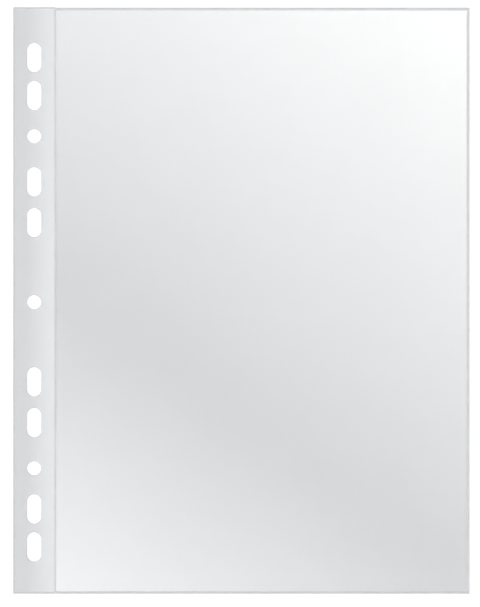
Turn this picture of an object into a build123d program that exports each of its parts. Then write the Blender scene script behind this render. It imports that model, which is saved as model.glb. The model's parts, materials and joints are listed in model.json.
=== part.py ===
"""Clear A4 punched pocket: a punched binding strip, two films and the weld beads that join them.

The pocket lies flat. +X runs across the page from the strip to the closed side, +Y up the page to the open
mouth and +Z out of the front film. The origin is under the middle of the outline. Millimetres.
"""

import os

from build123d import *

# Outline of the whole pocket
outline_width = 235.0
outline_height = 302.0

# Films: their thickness, the room between them at rest and the thicker hot-cut rim along the mouth
film_thickness = 0.10
pocket_room = 0.20
rim_height = 1.5
rim_extra = 0.04
mouth_setback = 0.25

# Binding strip
strip_width = 21.6
strip_thickness = 0.30
strip_corner_radius = 0.5

# Weld beads
seam_bead_width = 0.8
side_bead_width = 1.45
bottom_bead_height = 1.25
bead_rounding = 0.12

# Ring holes: one column, alike above and below its own middle, which sits a little below the strip's
hole_inset = 10.8
hole_width = 7.2
slot_length = 15.0
column_drop = 0.9
round_hole_offset = 85.5
slot_offsets = (41.0, 62.0, 106.5, 126.0)
hole_end_margin = 5.0

# Running clearances where one body moves past another
seam_gap = 0.20
front_film_gap = 0.15

# Places that follow from the sizes
left = -outline_width / 2
right = outline_width / 2
bottom = -outline_height / 2
top = outline_height / 2
mouth = top - mouth_setback
bead_thickness = 2 * film_thickness + pocket_room
seam = left + strip_width
strip_edge = seam - seam_bead_width / 2
pocket_left = seam + seam_bead_width / 2 + seam_gap
side_bead_left = right - side_bead_width
bottom_bead_top = bottom + bottom_bead_height
front_film_right = side_bead_left - front_film_gap
front_film_bottom = bottom_bead_top + front_film_gap
hole_column = left + hole_inset
column_middle = -column_drop


def block(x_limits, y_limits, z_limits):
    """A plain block between a low and a high limit on each axis."""
    limits = (x_limits, y_limits, z_limits)
    corner = [low for low, high in limits]
    sides = [high - low for low, high in limits]
    return Pos(*corner) * Box(*sides, align=(Align.MIN, Align.MIN, Align.MIN))


def fits_on_strip(offset, hole_height):
    """True if a hole this far from the column's middle keeps its margin to both ends of the strip."""
    reach = offset + column_drop + hole_height / 2 + hole_end_margin
    return reach <= outline_height / 2


def hole_cutter(profile, offset):
    """A cutter through the strip, this far above the middle of the hole column."""
    return Pos(hole_column, column_middle + offset, 0) * extrude(profile, 2 * strip_thickness, both=True)


def binding_strip():
    """The strip with its eleven holes: a round one in the middle, a round pair and four pairs of slots."""
    strip = block((left, strip_edge), (bottom, top), (0, strip_thickness))
    upright_edges = strip.edges().filter_by(Axis.Z)
    upper_left_edge = upright_edges.group_by(Axis.X)[0].sort_by(Axis.Y)[-1]
    strip = fillet(upper_left_edge, strip_corner_radius)
    round_hole = Circle(hole_width / 2)
    slot = SlotOverall(slot_length, hole_width, rotation=90)
    pairs = [(round_hole, hole_width, round_hole_offset)]
    pairs += [(slot, slot_length, offset) for offset in slot_offsets]
    strip -= hole_cutter(round_hole, 0)
    for profile, hole_height, offset in pairs:
        if fits_on_strip(offset, hole_height):
            strip -= [hole_cutter(profile, side * offset) for side in (-1, 1)]
    return strip


def strip_weld():
    """The bead beside the strip. It is rounded towards the pocket, which turns about its middle line."""
    bead = block((strip_edge, seam + seam_bead_width / 2), (bottom, top), (0, bead_thickness))
    pocket_side_edges = bead.edges().filter_by(Axis.Y).group_by(Axis.X)[-1]
    return fillet(pocket_side_edges, bead_rounding)


def back_film():
    """The back sheet, joined to the side and bottom beads, with its rim towards the inside."""
    sheet = block((pocket_left, side_bead_left), (bottom_bead_top, mouth), (0, film_thickness))
    rim = block((pocket_left, side_bead_left), (mouth - rim_height, mouth), (0, film_thickness + rim_extra))
    return sheet + rim


def front_film():
    """The front sheet, a running gap away from the beads, because it swings up from the bottom one."""
    low = bead_thickness - film_thickness
    sheet = block((pocket_left, front_film_right), (front_film_bottom, mouth), (low, bead_thickness))
    rim_limits = (low - rim_extra, bead_thickness)
    rim = block((pocket_left, front_film_right), (mouth - rim_height, mouth), rim_limits)
    return sheet + rim


def bottom_weld():
    """The bead along the bottom of the pocket, with its outer edges rounded."""
    bead = block((pocket_left, right), (bottom, bottom_bead_top), (0, bead_thickness))
    outer_edges = bead.edges().filter_by(Axis.X).group_by(Axis.Y)[0]
    return fillet(outer_edges, bead_rounding)


def side_weld():
    """The bead along the closed side, from the bottom bead up to the mouth, with its outer edges rounded."""
    bead = block((side_bead_left, right), (bottom_bead_top, mouth), (0, bead_thickness))
    outer_edges = bead.edges().filter_by(Axis.Y).group_by(Axis.X)[-1]
    return fillet(outer_edges, bead_rounding)


os.makedirs("parts", exist_ok=True)
for make_piece in (binding_strip, strip_weld, back_film, front_film, bottom_weld, side_weld):
    export_step(make_piece(), f"parts/{make_piece.__name__}.step")
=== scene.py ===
"""Looks of a clear A4 punched pocket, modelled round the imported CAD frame.

The pocket lies on its back film. +X runs from the punched strip to the closed side, +Y up to the open
mouth and +Z out of the front film. Lengths are in metres, and the scales of patterns are per metre.
"""

import json
import math

import bmesh
import bpy
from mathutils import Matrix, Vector
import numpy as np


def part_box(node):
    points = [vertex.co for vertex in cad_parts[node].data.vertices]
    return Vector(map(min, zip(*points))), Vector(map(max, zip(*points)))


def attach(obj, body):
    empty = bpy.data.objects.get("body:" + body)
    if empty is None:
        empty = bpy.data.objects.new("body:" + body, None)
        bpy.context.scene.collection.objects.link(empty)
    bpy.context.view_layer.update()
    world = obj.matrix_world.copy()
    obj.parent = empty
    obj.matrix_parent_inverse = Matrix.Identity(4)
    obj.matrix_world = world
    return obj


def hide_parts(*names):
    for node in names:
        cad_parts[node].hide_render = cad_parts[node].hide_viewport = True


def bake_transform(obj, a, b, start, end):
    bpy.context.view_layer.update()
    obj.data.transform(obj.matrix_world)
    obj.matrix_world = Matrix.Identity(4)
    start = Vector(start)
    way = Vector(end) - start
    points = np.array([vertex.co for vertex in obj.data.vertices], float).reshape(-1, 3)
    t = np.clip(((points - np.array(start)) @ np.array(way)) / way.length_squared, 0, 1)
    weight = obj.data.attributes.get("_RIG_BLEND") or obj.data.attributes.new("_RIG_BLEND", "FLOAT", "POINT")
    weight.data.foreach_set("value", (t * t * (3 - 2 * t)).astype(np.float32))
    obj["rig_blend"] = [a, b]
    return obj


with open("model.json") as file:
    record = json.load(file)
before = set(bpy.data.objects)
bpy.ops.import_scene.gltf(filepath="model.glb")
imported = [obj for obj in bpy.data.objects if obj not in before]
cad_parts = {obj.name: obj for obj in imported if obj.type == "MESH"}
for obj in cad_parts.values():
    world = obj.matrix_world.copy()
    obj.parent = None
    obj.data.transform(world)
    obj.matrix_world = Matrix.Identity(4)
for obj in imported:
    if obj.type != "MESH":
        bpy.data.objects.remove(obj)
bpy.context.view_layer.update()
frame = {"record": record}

MM = 0.001

# Points nearer than TOUCH are one. An edge is shaded smooth or rounded off by how far its faces turn.
TOUCH = 0.001 * MM
SMOOTH_BELOW = math.radians(35)
ROUND_ABOVE = math.radians(40)

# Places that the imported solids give. The bottom bead is lengthened over the running gap beside the seam.
STRIP_LOW, STRIP_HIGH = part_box("binding_strip")
SEAM_LOW, SEAM_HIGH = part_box("strip_weld")
FILM_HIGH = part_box("back_film")[1]
SIDE_LOW, SIDE_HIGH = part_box("side_weld")
BOTTOM_LOW, BOTTOM_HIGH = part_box("bottom_weld")
BOTTOM_LOW.x = SEAM_HIGH.x
POCKET_LEFT = SEAM_HIGH.x
POCKET_TOP = SEAM_HIGH.z
MOUNTS = {mount["name"]: mount for mount in frame["record"]["mounts"]}

# Strip: its dense cut edges and the pressed rims of its holes
SIDE_LINE = 0.65 * MM
TOP_LINE = 0.6 * MM
BOTTOM_LINE = 0.9 * MM
CORNER_ROUND = 0.5 * MM
CORNER_STEPS = 4
HOLE_SIDES = 56
HOLE_RIM = 0.45 * MM
RIM_DROP = 0.05 * MM
EDGE_ROUND = 0.04 * MM
EDGE_STEPS = 2

# Films: thickness, thicker rim along the mouth, lap into the beads, and cells across and up
FILM_THICKNESS = 0.10 * MM
MOUTH_RIM = 1.5 * MM
RIM_EXTRA = 0.04 * MM
WELD_LAP = 0.02 * MM
FRONT_CELLS = (60, 72)
BACK_CELLS = (30, 36)

# Shallow waves of the front film: radians across the pocket, radians up it and the start of each.
# The bottom weld holds them down over a share of the height. The power shapes the opening mouth's bulge.
WAVE_DEPTH = 0.10 * MM
WAVES = ((9.0, 2.4, 0.0), (-3.1, 5.2, 0.7))
BOTTOM_HOLD = 0.25
BULGE_POWER = 1.25

# Beads, and the ripples on them: length for a radian, share and start of each
BEAD_ROUND = 0.12 * MM
BEAD_ROUND_STEPS = 3
BEAD_STEP = 1.5 * MM
BEAD_COLUMNS = 4
SEAM_COLUMNS = 6
RIPPLE_DEPTH = 0.025 * MM
RIPPLES = ((2.1 * MM, 1.0, 0.0), (5.3 * MM, 0.6, 1.0))

# Film finish: tint of each face, mirror share head on and its rise towards a grazing look, and fine relief
FILM_TINT = ((0.9592, 0.9622, 0.9658), (0.9622, 0.9652, 0.9688))
FILM_MIRROR = 0.04
GRAZING_POWER = 5.0
FILM_ROUGHNESS = (0.06, 0.14)
FILM_RELIEF = 0.0025 * MM
FILM_MOTTLE = 35.0
FILM_PEEL = 700.0
DRAWING_LINES = (900.0, 6.0, 1.0)
LINE_SHARE = 0.35
LINE_SPAN = (0.35, 0.75)

# Milky finishes: greys, and the share of milky body in what is otherwise clear
CLEAR_REST = (0.97, 0.975, 0.98, 1.0)
PLASTIC_IOR = 1.49
NOISE_SPAN = (0.3, 0.7)
# The strip's greys and densities are painted shade: darker at its outer edge, lighter towards the seam.
STRIP_PAINTED_SHADE_GREYS = ((0.634, 0.646, 0.660), (0.75, 0.763, 0.776))
STRIP_PAINTED_SHADE_DENSITY = (0.32, 0.235)
STRIP_EVEN = 6.5 * MM
STRIP_CLOUDS = 60.0
CLOUD_SHARE = 0.1
RIM_GAIN = 0.05
CUT_GREYS = ((0.57, 0.575, 0.58), (0.61, 0.615, 0.62))
CUT_MOTTLE = 400.0
CUT_DENSITY = (0.37, 0.41)
CUT_PATCHES = 250.0
WELD_DENSITY = (0.25, 0.29)
WELD_PATCHES = 180.0
MOUTH_DENSITY = (0.03, 0.20)

# Grain of each milky finish: roughness, scale and height
STRIP_GRAIN = (0.5, 1800.0, 0.008 * MM)
RIM_GRAIN = (0.45, 1800.0, 0.004 * MM)
CUT_GRAIN = (0.45, 1500.0, 0.005 * MM)
WELD_GRAIN = (0.4, 1200.0, 0.008 * MM)
MOUTH_GRAIN = (0.35, 1200.0, 0.002 * MM)
ROUGHNESS_SWING = 0.05
GRAIN_HARSHNESS = 0.6

# Painted shading added to the density of each bead, at its inner edge and at its outer one: it lightens the
# inner edge, where the floor below is shaded, and darkens the outer edge, where light reaches under it from
# the side
SEAM_PAINTED_SHADING = (-0.02, 0.03)
BOTTOM_PAINTED_SHADING = (-0.10, 0.22)
SIDE_PAINTED_SHADING = (-0.03, 0.03)

# Camera: straight above, as far away as the lens needs to frame this height
LENS = 85.0
SENSOR = 36.0
FRAME_HEIGHT = 312.5 * MM
FRAME_MIDDLE = (-0.72 * MM, -1.54 * MM)

# Panel overhead: it darkens in a diagonal band, and fades into the dome between two slopes from straight up
BAND_DIRECTION = (0.571, 0.821, 0.0)
BAND_PLACE = -0.0663
BAND_LIGHT = 0.04
RISE_UPWARDS = 8.7
RISE_DOWNWARDS = 11.4
BAND_SOFTNESS = 0.12
PANEL_REACH = (0.30, 0.55)
PANEL_COLOUR = (1.03, 1.0, 0.955)
LOWEST_HEIGHT = 0.05

# Dome: soft boxes low round it, and a white sweep at the horizon. Heights are sines of the angle above it.
DOME_COLOUR = (1.0, 1.0, 1.0)
DOME_HORIZON = 0.6
DOME_TOP = 1.15
DOME_RISE = (0.15, 0.95)
BOX_COUNT = 4
BOX_SWING = 0.3
SWEEP_LIGHT = 1.06
SWEEP_REACH = (0.02, 0.14)

# Lamp, floor, and how far light is followed
LAMP_STRENGTH = 0.56
LAMP_SPREAD = 24.0
LAMP_TILT = (34.0, -22.0)
FLOOR_DROP = 0.05 * MM
FLOOR_SIZE = 60.0
FLOOR_GREYS = ((0.90, 0.90, 0.90), (0.92, 0.92, 0.92))
FLOOR_MOTTLE = 6.0
FLOOR_ROUGHNESS = 0.9
CLEAR_FACES = 32
LIGHT_BOUNCES = 6


# Nodes that the finishes share


def add_node(tree, kind, settings=None, inputs=None):
    """A new shader node. An input gets its value, or a link where the value is another node's output."""
    made = tree.nodes.new(kind)
    for name, value in (settings or {}).items():
        setattr(made, name, value)
    for name, value in (inputs or {}).items():
        if isinstance(value, bpy.types.NodeSocket):
            tree.links.new(value, made.inputs[name])
        else:
            made.inputs[name].default_value = value
    return made


def maths(tree, operation, *values):
    """The result of one sum on numbers or sockets."""
    made = add_node(tree, "ShaderNodeMath", {"operation": operation}, dict(enumerate(values)))
    return made.outputs[0]


def vector_maths(tree, operation, *values):
    """The node of one sum on vectors."""
    return add_node(tree, "ShaderNodeVectorMath", {"operation": operation}, dict(enumerate(values)))


def ramped(tree, value, from_range, to_range, smooth=False):
    """A value carried from one range to another and held at its ends."""
    kind = "SMOOTHSTEP" if smooth else "LINEAR"
    limits = dict(zip(("From Min", "From Max", "To Min", "To Max"), (*from_range, *to_range)))
    made = add_node(tree, "ShaderNodeMapRange", {"interpolation_type": kind}, {"Value": value, **limits})
    return made.outputs["Result"]


def new_material(name):
    """An empty procedural material: its node tree and its output node."""
    material = bpy.data.materials.new(name)
    material.use_nodes = True
    tree = material.node_tree
    tree.nodes.clear()
    return material, tree, add_node(tree, "ShaderNodeOutputMaterial")


def object_place(tree, stretch=(1.0, 1.0, 1.0)):
    """The piece's own coordinates, stretched for a pattern."""
    place = add_node(tree, "ShaderNodeTexCoord").outputs["Object"]
    return add_node(tree, "ShaderNodeMapping", inputs={"Vector": place, "Scale": stretch}).outputs["Vector"]


def object_axis(tree, axis):
    """One of the piece's own coordinates."""
    place = add_node(tree, "ShaderNodeTexCoord").outputs["Object"]
    return add_node(tree, "ShaderNodeSeparateXYZ", inputs={0: place}).outputs[axis]


def noise(tree, scale, detail=3.0, harshness=0.5, stretch=(1.0, 1.0, 1.0)):
    """Soft noise between 0 and 1 over the piece."""
    place = object_place(tree, stretch)
    inputs = {"Vector": place, "Scale": scale, "Detail": detail, "Roughness": harshness}
    return add_node(tree, "ShaderNodeTexNoise", inputs=inputs).outputs["Fac"]


def bumped(tree, pattern, height):
    """A surface normal from a pattern, whose full step is that high."""
    inputs = {"Distance": height, "Height": pattern}
    return add_node(tree, "ShaderNodeBump", inputs=inputs).outputs["Normal"]


def grey_between(tree, factor, greys):
    """A colour that runs from the first grey to the second with the factor.

    A Mix node takes its two colours at sockets 6 and 7, and gives the mixed one at 2.
    """
    low, high = greys
    inputs = {"Factor": factor, 6: (*low, 1.0), 7: (*high, 1.0)}
    return add_node(tree, "ShaderNodeMix", {"data_type": "RGBA"}, inputs).outputs[2]


def mirror_share(tree, head_on):
    """How much a smooth face mirrors: little head on, all at a grazing angle."""
    facing = add_node(tree, "ShaderNodeLayerWeight").outputs["Facing"]
    grazing = maths(tree, "POWER", facing, GRAZING_POWER)
    return maths(tree, "MULTIPLY_ADD", grazing, 1.0 - head_on, head_on)


def show_mixed(tree, output, share, through, solid):
    """Ends a material: that share of a solid shader over a see-through one."""
    inputs = {0: share, 1: through.outputs[0], 2: solid.outputs[0]}
    mixed = add_node(tree, "ShaderNodeMixShader", inputs=inputs)
    tree.links.new(mixed.outputs[0], output.inputs["Surface"])


# Finishes


def clear_film():
    """Clear cast film: a faint cool tint, a mirror-smooth face with fine orange peel, and drawing lines."""
    material, tree, output = new_material("clear_film")
    lines = noise(tree, 1.0, stretch=DRAWING_LINES)
    relief = maths(tree, "MULTIPLY_ADD", lines, LINE_SHARE, noise(tree, FILM_PEEL, detail=2.0))
    tint = grey_between(tree, noise(tree, FILM_MOTTLE), FILM_TINT)
    through = add_node(tree, "ShaderNodeBsdfTransparent", inputs={"Color": tint})
    gloss = add_node(
        tree,
        "ShaderNodeBsdfAnisotropic",
        inputs={
            "Color": (1.0, 1.0, 1.0, 1.0),
            "Roughness": ramped(tree, lines, LINE_SPAN, FILM_ROUGHNESS),
            "Normal": bumped(tree, relief, FILM_RELIEF),
        },
    )
    show_mixed(tree, output, mirror_share(tree, FILM_MIRROR), through, gloss)
    return material


def milky(name, colour, density, grain):
    """Half-clear plastic: milky body over a clear rest. colour and density are functions of the tree."""
    material, tree, output = new_material(name)
    roughness, scale, height = grain
    pattern = noise(tree, scale, harshness=GRAIN_HARSHNESS)
    rough_range = (roughness - ROUGHNESS_SWING, roughness + ROUGHNESS_SWING)
    body = add_node(
        tree,
        "ShaderNodeBsdfPrincipled",
        inputs={
            "Base Color": colour(tree),
            "Roughness": ramped(tree, pattern, NOISE_SPAN, rough_range),
            "IOR": PLASTIC_IOR,
            "Normal": bumped(tree, pattern, height),
        },
    )
    through = add_node(tree, "ShaderNodeBsdfTransparent", inputs={"Color": CLEAR_REST})
    show_mixed(tree, output, density(tree), through, body)
    return material


def painted_shade_across_strip(tree):
    """Painted shade across the strip: 0 over its even outer part, where it is darkest, rising to 1 at the
    seam, where it is lightest.
    """
    return ramped(tree, object_axis(tree, "X"), (STRIP_LOW.x + STRIP_EVEN, STRIP_HIGH.x), (0.0, 1.0))


def strip_tone_and_painted_shade(tree):
    """Cool milky grey with soft clouds, and painted shade that lightens from the outer edge towards the
    seam.
    """
    clouds = noise(tree, STRIP_CLOUDS)
    shade = maths(tree, "MULTIPLY_ADD", clouds, CLOUD_SHARE, painted_shade_across_strip(tree))
    return grey_between(tree, shade, STRIP_PAINTED_SHADE_GREYS)


def strip_painted_shade_density(tree):
    """Painted shade as density: the strip is densest, and so darkest, at its outer edge."""
    return ramped(tree, painted_shade_across_strip(tree), (0.0, 1.0), STRIP_PAINTED_SHADE_DENSITY)


def rim_density(tree):
    """The pressed rims of the holes are a little denser than the strip round them, and carry its painted
    shade.
    """
    return maths(tree, "ADD", strip_painted_shade_density(tree), RIM_GAIN)


def cut_colour(tree):
    """Grey of a cut edge, slightly uneven."""
    return grey_between(tree, noise(tree, CUT_MOTTLE, detail=2.0), CUT_GREYS)


def cut_density(tree):
    """A cut edge lets less light through than the sheet."""
    return ramped(tree, noise(tree, CUT_PATCHES, detail=2.0), NOISE_SPAN, CUT_DENSITY)


def weld_density(axis, inner, outer, painted_shading):
    """Density of a bead: it varies with how well it melted, and has painted shading from its inner edge to
    its outer one.
    """

    def density(tree):
        """How much of the bead is milky."""
        uneven = ramped(tree, noise(tree, WELD_PATCHES), NOISE_SPAN, WELD_DENSITY)
        # The second term is painted shading: lighter at the bead's inner edge, darker at its outer edge.
        return maths(tree, "ADD", uneven, ramped(tree, object_axis(tree, axis), (inner, outer), painted_shading))

    return density


def mouth_density(tree):
    """The film thickens towards its hot-cut mouth."""
    return ramped(tree, object_axis(tree, "Y"), (FILM_HIGH.y - MOUTH_RIM, FILM_HIGH.y), MOUTH_DENSITY)


def make_finishes():
    """All finishes of the pocket by name."""
    seam_density = weld_density("X", SEAM_HIGH.x, SEAM_LOW.x, SEAM_PAINTED_SHADING)
    bottom_density = weld_density("Y", BOTTOM_HIGH.y, BOTTOM_LOW.y, BOTTOM_PAINTED_SHADING)
    side_density = weld_density("X", SIDE_LOW.x, SIDE_HIGH.x, SIDE_PAINTED_SHADING)
    return {
        "film": clear_film(),
        "strip": milky("milky_strip", strip_tone_and_painted_shade, strip_painted_shade_density, STRIP_GRAIN),
        "rim": milky("pressed_rim", strip_tone_and_painted_shade, rim_density, RIM_GRAIN),
        "cut": milky("cut_edge", cut_colour, cut_density, CUT_GRAIN),
        "seam": milky("seam_weld", cut_colour, seam_density, WELD_GRAIN),
        "bottom": milky("bottom_weld", cut_colour, bottom_density, WELD_GRAIN),
        "side": milky("side_weld", cut_colour, side_density, WELD_GRAIN),
        "mouth": milky("hot_cut_mouth", cut_colour, mouth_density, MOUTH_GRAIN),
    }


# Work on a piece in object and edit mode


def deselect_objects():
    """Nothing selected, so that the next operator acts on the next piece alone."""
    if bpy.context.object and bpy.context.object.mode != "OBJECT":
        bpy.ops.object.mode_set(mode="OBJECT")
    bpy.ops.object.select_all(action="DESELECT")


def select_alone(piece):
    """Just this piece, selected and active."""
    deselect_objects()
    bpy.context.view_layer.objects.active = piece
    piece.select_set(True)


def settle(name):
    """The primitive just added gets its name, and its place goes into its mesh."""
    piece = bpy.context.object
    piece.name = name
    piece.data.name = name
    bpy.ops.object.transform_apply(location=True, rotation=True, scale=True)
    return piece


def edit(piece):
    """Opens a piece in edit mode, alone."""
    select_alone(piece)
    bpy.ops.object.mode_set(mode="EDIT")


def close_edit():
    """Back to object mode."""
    bpy.ops.object.mode_set(mode="OBJECT")


def pick(kind, test):
    """In edit mode, selects just the vertices, edges or faces that pass the test."""
    bpy.ops.mesh.select_mode(type=kind)
    bpy.ops.mesh.select_all(action="DESELECT")
    data = bpy.context.object.data
    mesh = bmesh.from_edit_mesh(data)
    items = {"VERT": mesh.verts, "EDGE": mesh.edges, "FACE": mesh.faces}[kind]
    for item in items:
        if test(item):
            item.select_set(True)
    mesh.select_flush_mode()
    bmesh.update_edit_mesh(data)


def pick_all():
    """In edit mode, selects the whole mesh."""
    bpy.ops.mesh.select_all(action="SELECT")


def middle(item):
    """The middle of an edge or face."""
    points = [vertex.co for vertex in item.verts]
    return sum(points, Vector()) / len(points)


def shift(x=0.0, y=0.0, z=0.0):
    """Moves what is selected."""
    bpy.ops.transform.translate(value=(x, y, z))


def pull_out(x=0.0, y=0.0, z=0.0):
    """Extrudes what is selected."""
    bpy.ops.mesh.extrude_region_move(TRANSFORM_OT_translate={"value": (x, y, z)})


def copy_up(piece, rise):
    """A copy of a piece, with its own mesh and so much further up the page."""
    select_alone(piece)
    bpy.ops.object.duplicate(linked=False)
    shift(y=rise)
    return bpy.context.object


def give_finish(finish):
    """The selected faces take a finish that the piece already has among its materials."""
    piece = bpy.context.object
    piece.active_material_index = piece.data.materials.find(finish.name)
    bpy.ops.object.material_slot_assign()


def add_modifier(piece, kind, **settings):
    """Adds a modifier and applies it."""
    modifier = piece.modifiers.new(kind.title(), kind)
    for name, value in settings.items():
        setattr(modifier, name, value)
    bpy.context.view_layer.objects.active = piece
    bpy.ops.object.modifier_apply(modifier=modifier.name)


def face_up(piece):
    """Merges a flat open sheet's doubles, and turns all its faces upwards."""
    edit(piece)
    pick_all()
    bpy.ops.mesh.remove_doubles(threshold=TOUCH)
    bpy.ops.mesh.normals_make_consistent(inside=False)
    close_edit()
    if piece.data.polygons[0].normal.z < 0:
        edit(piece)
        pick_all()
        bpy.ops.mesh.flip_normals()
        close_edit()


def smooth(piece):
    """Shades a piece smooth, apart from its sharp edges."""
    select_alone(piece)
    bpy.ops.object.shade_smooth_by_angle(angle=SMOOTH_BELOW)


def round_edges(piece, width, segments):
    """Rounds a piece's sharp edges, and shades the rest smooth."""
    add_modifier(
        piece,
        "BEVEL",
        width=width,
        segments=segments,
        limit_method="ANGLE",
        angle_limit=ROUND_ABOVE,
        use_clamp_overlap=True,
    )
    smooth(piece)


def flat_grid(name, x_limits, y_limits, z, cells):
    """A flat grid between those limits, with so many cells across and up."""
    deselect_objects()
    bpy.ops.mesh.primitive_grid_add(
        x_subdivisions=cells[0],
        y_subdivisions=cells[1],
        size=1,
        location=(sum(x_limits) / 2, sum(y_limits) / 2, z),
    )
    bpy.context.object.scale = (x_limits[1] - x_limits[0], y_limits[1] - y_limits[0], 1)
    return settle(name)


# The punched strip


def ring_holes():
    """Each hole of the strip as its middle, its radius and how far its round ends lie from that middle."""
    first = MOUNTS["middle_ring_hole"]
    x, y = first["pos_m"][:2]
    holes = [(x, y, first["dims"]["r_mm"] * MM, 0.0)]
    for mount in MOUNTS.values():
        if mount["kind"] != "bolt_pattern":
            continue
        sizes = mount["dims"]
        radius = sizes["hole_r_mm"] * MM
        reach = sizes.get("slot_length_mm", 2 * sizes["hole_r_mm"]) / 2 * MM - radius
        half = sizes["spacing_y_mm"] / 2 * MM
        holes += [(x, y + half, radius, reach), (x, y - half, radius, reach)]
    return holes


HOLES = ring_holes()


def from_hole(point):
    """How far a point of the strip is outside the nearest hole."""
    gaps = []
    for x, y, radius, reach in HOLES:
        past_end = max(abs(point.y - y) - reach, 0.0)
        gaps.append(math.hypot(point.x - x, past_end) - radius)
    return min(gaps)


def hole_rim(x, y, radius, reach):
    """A flat ring round one hole. A slot is the round one with its halves moved apart."""
    deselect_objects()
    bpy.ops.mesh.primitive_circle_add(
        vertices=HOLE_SIDES,
        radius=radius + HOLE_RIM,
        fill_type="NGON",
        location=(x, y, STRIP_HIGH.z),
        rotation=(0, 0, math.pi / HOLE_SIDES),
    )
    rim = settle("hole_rim")
    edit(rim)
    for side in (-1, 1):
        pick("VERT", lambda vertex: (vertex.co.y - y) * side > 0)
        shift(y=side * reach)
    pick_all()
    bpy.ops.mesh.inset(thickness=HOLE_RIM)
    bpy.ops.mesh.delete(type="ONLY_FACE")
    close_edit()
    return rim


def hole_rims():
    """A rim round each hole. The first of each form is modelled, and the others are its copies."""
    rims = []
    modelled = {}
    for x, y, radius, reach in HOLES:
        form = (radius, reach)
        if form in modelled:
            first, first_y = modelled[form]
            rims.append(copy_up(first, y - first_y))
        else:
            first = hole_rim(x, y, radius, reach)
            modelled[form] = (first, y)
            rims.append(first)
    return rims


def cell_heights():
    """Heights that part the strip's panel into a cell for each hole, from bottom line to top line."""
    middles = sorted(y for x, y, radius, reach in HOLES)
    between = [(low + high) / 2 for low, high in zip(middles, middles[1:])]
    return [STRIP_LOW.y + BOTTOM_LINE, *between, STRIP_HIGH.y - TOP_LINE]


def strip_border():
    """The dense edge lines of the strip, left, top and bottom, round the open cells of its panel."""
    inner_left = STRIP_LOW.x + SIDE_LINE
    heights = cell_heights()
    inner_low, inner_high = heights[0], heights[-1]
    border = flat_grid("punched_strip", (inner_left, STRIP_HIGH.x), heights[:2], STRIP_HIGH.z, (1, 1))
    edit(border)
    for low, high in zip(heights[1:], heights[2:]):
        pick("EDGE", lambda edge: abs(middle(edge).y - low) < TOUCH)
        pull_out(y=high - low)
    pick("EDGE", lambda edge: abs(middle(edge).x - inner_left) < TOUCH)
    pull_out(x=-SIDE_LINE)
    pick("EDGE", lambda edge: abs(middle(edge).y - inner_low) < TOUCH)
    pull_out(y=-BOTTOM_LINE)
    pick("EDGE", lambda edge: abs(middle(edge).y - inner_high) < TOUCH)
    pull_out(y=TOP_LINE)
    pick("FACE", lambda face: middle(face).x > inner_left and inner_low < middle(face).y < inner_high)
    bpy.ops.mesh.delete(type="ONLY_FACE")
    pick("VERT", lambda vertex: vertex.co.x < inner_left - TOUCH and vertex.co.y > inner_high + TOUCH)
    bpy.ops.mesh.bevel(offset=CORNER_ROUND, segments=CORNER_STEPS, affect="VERTICES")
    close_edit()
    return border


def fill_cell(low, high):
    """Fills one cell of the strip's panel, between its sides and the outer loop of its hole's rim."""

    def round_cell(edge):
        """True on an open edge of the cell, apart from the edge of the hole itself."""
        place = middle(edge)
        in_cell = low - TOUCH < place.y < high + TOUCH and place.x > STRIP_LOW.x + SIDE_LINE - TOUCH
        return in_cell and len(edge.link_faces) < 2 and from_hole(place) > HOLE_RIM / 2

    pick("EDGE", round_cell)
    bpy.ops.mesh.fill()


def punched_strip(finishes):
    """The strip: dense edge lines and hole rims, a panel filled between them, then its thickness."""
    rims = hole_rims()
    strip = strip_border()
    select_alone(strip)
    for rim in rims:
        rim.select_set(True)
    bpy.ops.object.join()
    for finish_name in ("strip", "cut", "rim"):
        strip.data.materials.append(finishes[finish_name])
    edit(strip)
    pick_all()
    give_finish(finishes["cut"])
    pick("FACE", lambda face: from_hole(middle(face)) < HOLE_RIM)
    give_finish(finishes["rim"])
    heights = cell_heights()
    for low, high in zip(heights, heights[1:]):
        fill_cell(low, high)
        give_finish(finishes["strip"])
    close_edit()
    face_up(strip)
    add_modifier(strip, "SOLIDIFY", thickness=STRIP_HIGH.z - STRIP_LOW.z, offset=-1)
    edit(strip)
    top = STRIP_HIGH.z - EDGE_ROUND
    pick("VERT", lambda vertex: vertex.co.z > top and from_hole(vertex.co) < HOLE_RIM / 2)
    shift(z=-RIM_DROP)
    close_edit()
    round_edges(strip, EDGE_ROUND, EDGE_STEPS)
    return strip


# Films and beads


def film(name, limits, z, cells, finishes, rim_side, wave):
    """A film with a thicker rim along its mouth, standing up for a rim_side of 1 or hanging down for -1."""
    low_x, high_x, low_y, high_y = limits
    rim_start = high_y - MOUTH_RIM
    sheet = flat_grid(name, (low_x, high_x), (low_y, rim_start), z, cells)
    for finish_name in ("film", "mouth"):
        sheet.data.materials.append(finishes[finish_name])
    edit(sheet)
    pick("EDGE", lambda edge: abs(middle(edge).y - rim_start) < TOUCH)
    pull_out(y=MOUTH_RIM)
    pick("FACE", lambda face: middle(face).y > rim_start)
    give_finish(finishes["mouth"])
    close_edit()
    for vertex in sheet.data.vertices:
        vertex.co.z += wave(vertex.co.x, vertex.co.y)
    face_up(sheet)
    add_modifier(sheet, "SOLIDIFY", thickness=FILM_THICKNESS, offset=-1)
    half_way = z - FILM_THICKNESS / 2

    def on_rim_side(vertex):
        """True on the face of the rim that is raised."""
        from_half_way = vertex.co.z - half_way - wave(vertex.co.x, vertex.co.y)
        return vertex.co.y > rim_start - TOUCH and from_half_way * rim_side > 0

    edit(sheet)
    pick("VERT", on_rim_side)
    shift(z=rim_side * RIM_EXTRA)
    close_edit()
    smooth(sheet)
    return sheet


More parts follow.
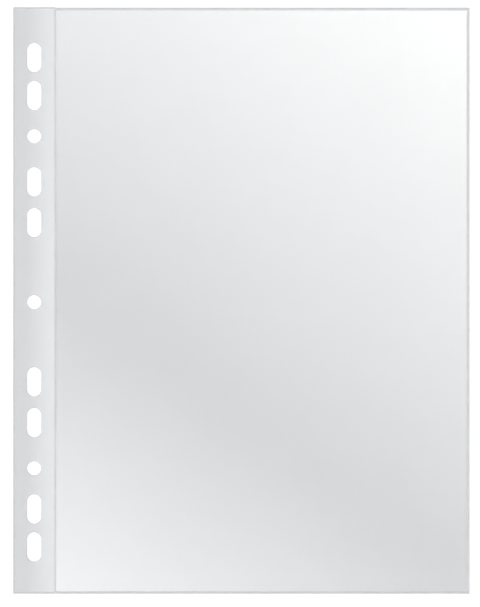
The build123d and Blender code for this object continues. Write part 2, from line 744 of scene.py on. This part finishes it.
def across_pocket(x):
    """0 at the seam and 1 at the closed side."""
    return min(1.0, max(0.0, (x - POCKET_LEFT) / (SIDE_LOW.x - POCKET_LEFT)))


def lies_flat(x, y):
    """No waves."""
    return 0.0


def lies_loose(x, y):
    """The front film's shallow waves, which die out at the welds and stay below its highest place."""
    across = across_pocket(x)
    up = max(0.0, (y - BOTTOM_HIGH.y) / (FILM_HIGH.y - BOTTOM_HIGH.y))
    hold = math.sin(math.pi * across) * min(1.0, up / BOTTOM_HOLD)
    waves = [math.sin(turns_x * across + turns_y * up + start) for turns_x, turns_y, start in WAVES]
    return -WAVE_DEPTH * hold * (0.5 + 0.5 * sum(waves) / len(waves))


def bead(name, low, high, finish, columns):
    """A weld bead between two corners, with rounded edges and the slight ripple of a hot seal."""
    along_y = high.y - low.y > high.x - low.x
    steps = round(max(high.x - low.x, high.y - low.y) / BEAD_STEP)
    cells = (columns, steps) if along_y else (steps, columns)
    made = flat_grid(name, (low.x, high.x), (low.y, high.y), low.z, cells)
    made.data.materials.append(finish)
    edit(made)
    pick_all()
    pull_out(z=high.z - low.z)
    pick_all()
    bpy.ops.mesh.normals_make_consistent(inside=False)
    close_edit()
    full_swing = 2 * sum(share for length, share, start in RIPPLES)
    for vertex in made.data.vertices:
        if vertex.co.z > (low.z + high.z) / 2:
            along = vertex.co.y if along_y else vertex.co.x
            ripple = sum(share * math.sin(along / length + start) for length, share, start in RIPPLES)
            vertex.co.z -= RIPPLE_DEPTH * (0.5 + ripple / full_swing)
    round_edges(made, BEAD_ROUND, BEAD_ROUND_STEPS)
    return made


# Pieces, and the bodies and nodes that they belong to


def stand_for(node):
    """The piece shows in place of a CAD node, which is hidden."""
    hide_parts(node)


def make_strip(finishes):
    """The punched strip and the seam bead, which bends as the pocket turns."""
    strip = punched_strip(finishes)
    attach(strip, "strip")
    stand_for("binding_strip")
    seam = bead("seam_bead", SEAM_LOW, SEAM_HIGH, finishes["seam"], SEAM_COLUMNS)
    bend_start = (SEAM_LOW.x + WELD_LAP, 0, 0)
    bend_end = (SEAM_HIGH.x - WELD_LAP, 0, 0)
    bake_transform(seam, "strip", "pocket", start=bend_start, end=bend_end)
    stand_for("strip_weld")


def make_closed_edges(finishes):
    """The beads along the bottom and the closed side."""
    for edge, low, high in (("bottom", BOTTOM_LOW, BOTTOM_HIGH), ("side", SIDE_LOW, SIDE_HIGH)):
        made = bead(edge + "_bead", low, high, finishes[edge], BEAD_COLUMNS)
        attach(made, "pocket")
        stand_for(edge + "_weld")


def keep_sides_welded(sheet):
    """The opening mouth lifts the film's middle most and its welded sides not at all.

    A vertex follows the pocket at a blend weight of 0 and the front film's body at 1.
    """
    weights = sheet.data.attributes["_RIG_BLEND"].data
    for vertex, weight in zip(sheet.data.vertices, weights):
        weight.value = max(0.0, math.sin(math.pi * across_pocket(vertex.co.x))) ** BULGE_POWER


def make_films(finishes):
    """The two films, which run a little into the beads all round."""
    limits = (POCKET_LEFT - WELD_LAP, SIDE_LOW.x + WELD_LAP, BOTTOM_HIGH.y - WELD_LAP, FILM_HIGH.y)
    back = film("back_sheet", limits, FILM_THICKNESS, BACK_CELLS, finishes, 1, lies_flat)
    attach(back, "pocket")
    stand_for("back_film")
    front = film("front_sheet", limits, POCKET_TOP, FRONT_CELLS, finishes, -1, lies_loose)
    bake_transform(front, "pocket", "front", start=(POCKET_LEFT, 0, 0), end=(0, 0, 0))
    keep_sides_welded(front)
    stand_for("front_film")


# Floor, light and camera


def pale_floor():
    """A wide pale floor with a hint of unevenness, just under the pocket."""
    deselect_objects()
    bpy.ops.mesh.primitive_plane_add(size=FLOOR_SIZE, location=(0, 0, -FLOOR_DROP))
    floor = settle("pale_floor")
    material, tree, output = new_material("pale_floor")
    surface = add_node(
        tree,
        "ShaderNodeBsdfPrincipled",
        inputs={
            "Base Color": grey_between(tree, noise(tree, FLOOR_MOTTLE), FLOOR_GREYS),
            "Roughness": FLOOR_ROUGHNESS,
            "Specular IOR Level": 0.0,
        },
    )
    tree.links.new(surface.outputs[0], output.inputs["Surface"])
    floor.data.materials.append(material)


def panel_light(tree, level_slopes):
    """Light of the panel overhead: least in the diagonal band, and more the further from it."""
    diagonal = vector_maths(tree, "DOT_PRODUCT", level_slopes, BAND_DIRECTION).outputs["Value"]
    past_band = maths(tree, "SUBTRACT", diagonal, BAND_PLACE)
    rising = maths(tree, "MULTIPLY", past_band, RISE_UPWARDS)
    falling = maths(tree, "MULTIPLY", past_band, -RISE_DOWNWARDS)
    band = maths(tree, "SMOOTH_MAX", rising, falling, BAND_SOFTNESS)
    return maths(tree, "ADD", band, BAND_LIGHT)


def dome_light(tree, x, y, height):
    """Light of the dome: soft boxes low round it, brighter above them and white at the horizon."""
    box_turn = maths(tree, "MULTIPLY", maths(tree, "ARCTAN2", y, x), BOX_COUNT)
    boxes = maths(tree, "MULTIPLY_ADD", maths(tree, "SINE", box_turn), BOX_SWING, DOME_HORIZON)
    above = ramped(tree, height, DOME_RISE, (boxes, DOME_TOP), smooth=True)
    return ramped(tree, height, SWEEP_REACH, (SWEEP_LIGHT, above), smooth=True)


def soft_studio():
    """The studio's light: a panel overhead, which the film mirrors, and a dome round it.

    A world's Generated coordinate is the direction that its light comes from.
    """
    world = bpy.data.worlds.new("soft_studio")
    bpy.context.scene.world = world
    world.use_nodes = True
    tree = world.node_tree
    tree.nodes.clear()
    direction = add_node(tree, "ShaderNodeTexCoord").outputs["Generated"]
    x, y, height = add_node(tree, "ShaderNodeSeparateXYZ", inputs={0: direction}).outputs
    above_floor = maths(tree, "MAXIMUM", height, LOWEST_HEIGHT)
    slopes = vector_maths(tree, "DIVIDE", direction, above_floor).outputs[0]
    level_slopes = vector_maths(tree, "MULTIPLY", slopes, (1, 1, 0)).outputs[0]
    from_zenith = vector_maths(tree, "LENGTH", level_slopes).outputs["Value"]
    fade = ramped(tree, from_zenith, PANEL_REACH, (0.0, 1.0), smooth=True)
    panel_to_dome = (panel_light(tree, level_slopes), dome_light(tree, x, y, height))
    light = ramped(tree, fade, (0.0, 1.0), panel_to_dome)
    colour = grey_between(tree, fade, (PANEL_COLOUR, DOME_COLOUR))
    background = add_node(tree, "ShaderNodeBackground", inputs={"Color": colour, "Strength": light})
    output = add_node(tree, "ShaderNodeOutputWorld")
    tree.links.new(background.outputs[0], output.inputs["Surface"])


def soft_lamp():
    """A broad lamp from the lower left, which gives a raised page its shade and a soft shadow."""
    data = bpy.data.lights.new("soft_lamp", "SUN")
    data.energy = LAMP_STRENGTH
    data.angle = math.radians(LAMP_SPREAD)
    lamp = bpy.data.objects.new("soft_lamp", data)
    bpy.context.scene.collection.objects.link(lamp)
    lamp.rotation_euler = [math.radians(turn) for turn in (*LAMP_TILT, 0.0)]


def camera_above():
    """The camera straight above, framing the pocket as the photograph does."""
    scene = bpy.context.scene
    data = bpy.data.cameras.new("camera_above")
    data.lens = LENS
    data.sensor_width = SENSOR
    camera = bpy.data.objects.new("camera_above", data)
    scene.collection.objects.link(camera)
    distance = FRAME_HEIGHT * LENS / SENSOR
    camera.location = (*FRAME_MIDDLE, POCKET_TOP + distance)
    scene.camera = camera


def follow_light():
    """Light is followed through all the clear faces behind each other, and whites stay white."""
    scene = bpy.context.scene
    scene.view_settings.view_transform = "Standard"
    scene.cycles.transparent_max_bounces = CLEAR_FACES
    scene.cycles.max_bounces = LIGHT_BOUNCES


camera_above()
follow_light()
soft_studio()
soft_lamp()
pale_floor()
pocket_finishes = make_finishes()
make_strip(pocket_finishes)
make_closed_edges(pocket_finishes)
make_films(pocket_finishes)
